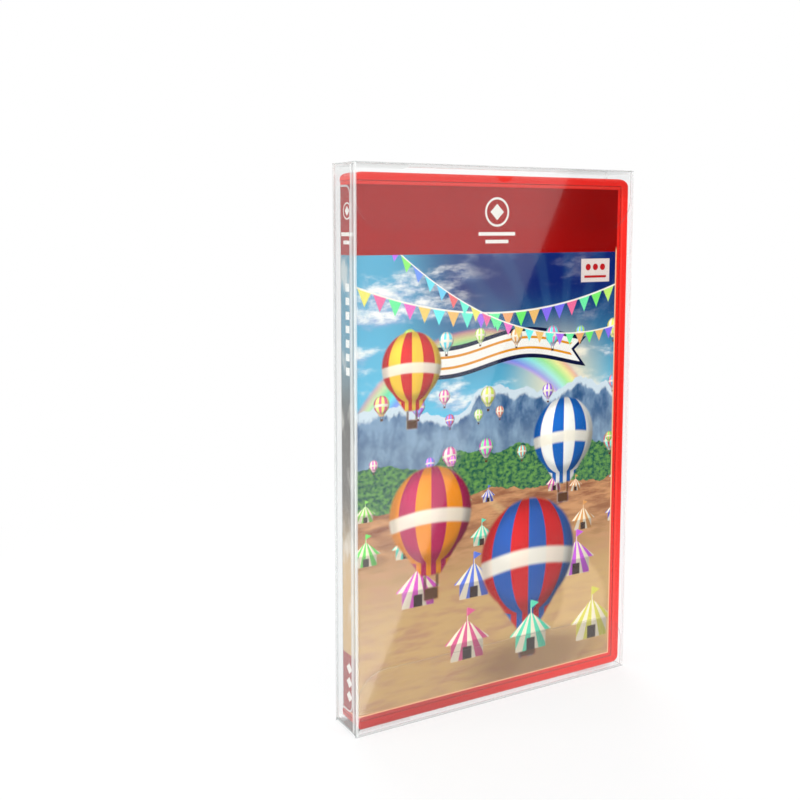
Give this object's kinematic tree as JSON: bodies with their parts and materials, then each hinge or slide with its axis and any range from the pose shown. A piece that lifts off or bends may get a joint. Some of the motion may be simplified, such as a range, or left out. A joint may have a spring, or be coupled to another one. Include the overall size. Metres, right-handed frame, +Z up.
{
  "type": "game card case",
  "caption": "Slim hinged game card case with a printed cover, standing in a clear folded sleeve with tuck-in lids at both ends.",
  "frame": {"origin": "centre of the bounding box at its base, where the closed lower lid stands", "axes": "+Z up along the case's height, +X across the front from the spine to the free edge, the printed front faces -Y"},
  "size_m": [0.107, 0.014, 0.174],
  "materials": {
    "clear_sheet": "clear glossy folded plastic sheet",
    "red_plastic": "translucent red moulded plastic",
    "printed_paper": "glossy printed paper",
    "clear_film": "clear thin film",
    "card_plastic": "fine matt black plastic",
    "contact_metal": "gold plated",
    "label_paper": "printed label"
  },
  "bodies": {
    "sleeve_and_case": {"box_sleeve": "clear_sheet", "case_shell": "red_plastic", "cover_insert": "printed_paper", "cover_film": "clear_film", "card_front_shell": "card_plastic", "card_back_shell": "card_plastic", "card_contacts": "contact_metal", "card_label": "label_paper"},
    "upper_closure": {"top_lid": "clear_sheet", "top_tuck_flap": "clear_sheet"},
    "lower_closure": {"bottom_lid": "clear_sheet", "bottom_tuck_flap": "clear_sheet"}
  },
  "joints": [
    {"name": "top_lid_fold", "type": "hinge", "parent": "sleeve_and_case", "child": "upper_closure", "pos_m": [0, 0.0066, 0.174], "axis": [-1, 0, 0], "range_deg": [0, 135], "deforming": ["top_tuck_flap"]},
    {"name": "bottom_lid_fold", "type": "hinge", "parent": "sleeve_and_case", "child": "lower_closure", "pos_m": [0, 0.0066, 0], "axis": [1, 0, 0], "range_deg": [0, 135], "deforming": ["bottom_tuck_flap"]}
  ]
}
